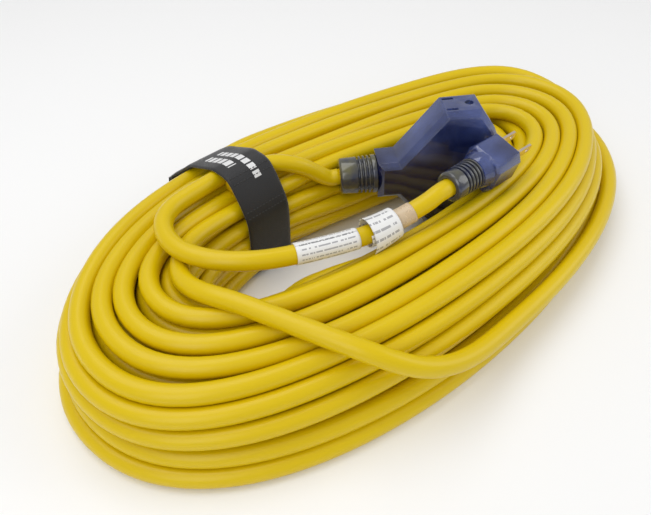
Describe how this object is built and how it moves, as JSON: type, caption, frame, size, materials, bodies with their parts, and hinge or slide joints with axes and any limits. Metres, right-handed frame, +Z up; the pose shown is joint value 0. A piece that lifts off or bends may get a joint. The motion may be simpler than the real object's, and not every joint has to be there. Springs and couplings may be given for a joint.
{
  "type": "extension cord",
  "caption": "Coiled heavy-duty grounded extension cord with a fan-shaped outlet block, a straight-blade plug, tags and a hook-and-loop strap.",
  "frame": {"origin": "middle of the footprint, on the floor under the coil", "axes": "+X along the long side of the oval coil, +Z up"},
  "size_m": [0.424, 0.2328, 0.0935],
  "materials": {
    "yellow_jacket": "glossy vinyl jacket",
    "blue_vinyl": "translucent moulded vinyl",
    "white_vinyl": "satin printed vinyl",
    "clear_tape": "clear film over the jacket",
    "black_webbing": "satin woven webbing",
    "black_hook": "moulded hook pile",
    "black_thread": "sewing thread",
    "clear_block": "milky moulded insulator",
    "brass": "stamped strip",
    "lamp_glass": "clear glass",
    "resistor": "coated ceramic",
    "black_insulation": "smooth vinyl",
    "white_insulation": "smooth vinyl",
    "green_insulation": "smooth vinyl",
    "nickel": "nickel plated brass"
  },
  "bodies": {
    "coil": {"plug_lead": "yellow_jacket", "tap_lead": "yellow_jacket", "crossing_cord": "yellow_jacket", "cord_coil": "yellow_jacket", "wrap_label": "white_vinyl", "flag_tag": "white_vinyl", "clear_tape": "clear_tape", "strap_band": "black_webbing"},
    "plug": {"plug_body": "blue_vinyl", "plug_strain_relief": "blue_vinyl", "plug_jacket_end": "yellow_jacket", "plug_bridge": "clear_block", "plug_neutral_blade": "nickel", "plug_hot_blade": "nickel", "plug_ground_pin": "nickel", "plug_black_wire": "black_insulation", "plug_black_crimp": "brass", "plug_white_wire": "white_insulation", "plug_white_crimp": "brass", "plug_green_wire": "green_insulation", "plug_green_crimp": "brass", "plug_lamp": "lamp_glass", "plug_resistor": "resistor"},
    "tap": {"tap_body": "blue_vinyl", "tap_strain_relief": "blue_vinyl", "tap_jacket_end": "yellow_jacket", "tap_inner_frame": "clear_block", "tap_hot_contacts": "brass", "tap_neutral_contacts": "brass", "tap_ground_contacts": "brass", "tap_lamp": "lamp_glass", "tap_resistor": "resistor", "tap_black_wire": "black_insulation", "tap_black_crimp": "brass", "tap_white_wire": "white_insulation", "tap_white_crimp": "brass", "tap_green_wire": "green_insulation", "tap_green_crimp": "brass"},
    "strap_tail": {"strap_hook_patch": "black_hook", "strap_tail": "black_webbing", "strap_stitching": "black_thread"}
  },
  "joints": [
    {"name": "plug_lift", "type": "hinge", "parent": "coil", "child": "plug", "pos_m": [0.005, -0.04971, 0.0757], "axis": [-0.0698, -0.9976, 0], "range_deg": [0, 30]},
    {"name": "tap_lift", "type": "hinge", "parent": "coil", "child": "tap", "pos_m": [-0.005, 0.02659, 0.0502], "axis": [-0.6225, -0.7826, 0], "range_deg": [0, 25]},
    {"name": "strap_tail_peel", "type": "hinge", "parent": "coil", "child": "strap_tail", "pos_m": [-0.063, 0.11419, 0.036], "axis": [1, 0, 0], "range_deg": [0, 100]}
  ]
}
